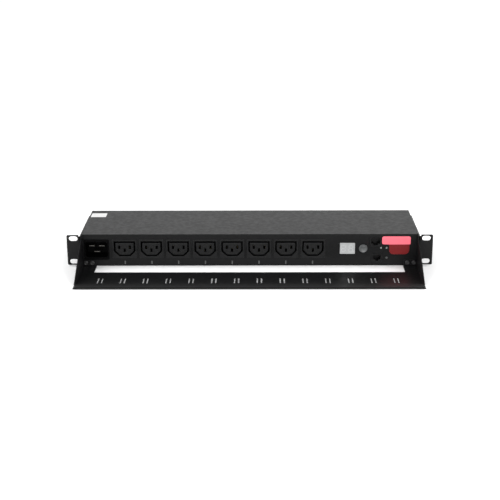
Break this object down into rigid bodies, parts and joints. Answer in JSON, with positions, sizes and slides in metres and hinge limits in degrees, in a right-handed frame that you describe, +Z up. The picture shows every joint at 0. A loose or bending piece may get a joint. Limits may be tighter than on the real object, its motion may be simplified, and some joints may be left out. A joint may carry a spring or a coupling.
{
  "type": "rack power strip",
  "caption": "One-unit black steel rack power strip: switched outlets in a row, a recessed inlet, a small display and network jacks, rack ears and a cord-retention tray.",
  "frame": {"origin": "centre of the four rack slots, on the rear faces of the ears, where they meet the rack rails", "axes": "+X to the right seen from the front, +Y into the rack, +Z up; the outlets face -Y"},
  "size_m": [0.4826, 0.1961, 0.0438],
  "materials": {
    "black_powder_coat": "fine-textured satin black powder coat",
    "black_oxide_steel": "black zinc, satin",
    "zinc_plated_steel": "bright zinc",
    "contact_brass": "rolled spring brass",
    "busbar_copper": "rolled copper strip",
    "brown_wire": "PVC insulation",
    "blue_wire": "PVC insulation",
    "green_yellow_wire": "PVC insulation, green with yellow stripes",
    "inlet_plastic": "moulded black nylon",
    "nickel_plated_brass": "nickel plate",
    "outlet_plastic": "moulded black nylon, fine spark texture",
    "sensor_resin": "coated ferrite",
    "green_laminate": "solder mask over glass laminate",
    "relay_plastic": "moulded relay case",
    "insulation_film": "fish paper",
    "chip_resin": "moulded epoxy",
    "display_window": "pale grey diffusing face",
    "display_segment": "milky segments",
    "button_plastic": "moulded grey plastic",
    "switch_plastic": "moulded switch body",
    "plunger_plastic": "natural acetal",
    "jack_plastic": "moulded black polyester",
    "gold_plate": "gold flash",
    "led_lens": "diffused lens",
    "core_steel": "varnished laminations",
    "capacitor_sleeve": "shrink sleeve",
    "ribbon_pvc": "flat cable",
    "badge_red": "domed two-tone red label",
    "paper_label": "white polyester label"
  },
  "bodies": {
    "chassis": {"base_pan": "black_powder_coat", "top_cover": "black_powder_coat", "front_panel": "black_powder_coat", "rack_ear_left": "black_powder_coat", "rack_ear_right": "black_powder_coat", "ear_screws": "black_oxide_steel", "ear_nuts": "zinc_plated_steel", "cover_screws": "black_oxide_steel", "cord_tray": "black_powder_coat", "tray_screws": "black_oxide_steel", "outlet_1": "outlet_plastic", "outlet_2": "outlet_plastic", "outlet_3": "outlet_plastic", "outlet_4": "outlet_plastic", "outlet_5": "outlet_plastic", "outlet_6": "outlet_plastic", "outlet_7": "outlet_plastic", "outlet_8": "outlet_plastic", "outlet_line_contacts": "contact_brass", "outlet_neutral_contacts": "contact_brass", "outlet_earth_contacts": "contact_brass", "neutral_busbar": "busbar_copper", "earth_busbar": "busbar_copper", "line_leads": "brown_wire", "inlet_housing": "inlet_plastic", "inlet_line_pin": "nickel_plated_brass", "inlet_neutral_pin": "nickel_plated_brass", "inlet_earth_pin": "nickel_plated_brass", "inlet_line_lead": "brown_wire", "inlet_neutral_lead": "blue_wire", "inlet_earth_lead": "green_yellow_wire", "current_sensor": "sensor_resin", "relay_board": "green_laminate", "relays": "relay_plastic", "board_standoffs": "zinc_plated_steel", "board_screws": "zinc_plated_steel", "insulation_sheet": "insulation_film", "control_board": "green_laminate", "controller_chips": "chip_resin", "control_board_brackets": "zinc_plated_steel", "control_board_screws": "zinc_plated_steel", "display_module": "display_window", "display_segments": "display_segment", "control_switch": "switch_plastic", "reset_switch": "switch_plastic", "ethernet_jack": "jack_plastic", "ethernet_contacts": "gold_plate", "serial_jack": "jack_plastic", "serial_contacts": "gold_plate", "outlet_leds": "led_lens", "status_leds": "led_lens", "supply_board": "green_laminate", "supply_transformer": "core_steel", "supply_capacitors": "capacitor_sleeve", "ribbon_cable": "ribbon_pvc", "front_label": "badge_red", "asset_label": "paper_label"},
    "display_button": {"control_button": "button_plastic", "switch_plunger": "plunger_plastic"},
    "reset_pin": {"reset_button": "button_plastic"}
  },
  "joints": [
    {"name": "display_button_press", "type": "slide", "parent": "chassis", "child": "display_button", "axis": [0, 1, 0], "range_m": [0, 0.001], "stiffness_N_per_m": 1500, "springref_m": -0.0005},
    {"name": "reset_press", "type": "slide", "parent": "chassis", "child": "reset_pin", "axis": [0, 1, 0], "range_m": [0, 0.0008], "stiffness_N_per_m": 1500, "springref_m": -0.0005}
  ]
}
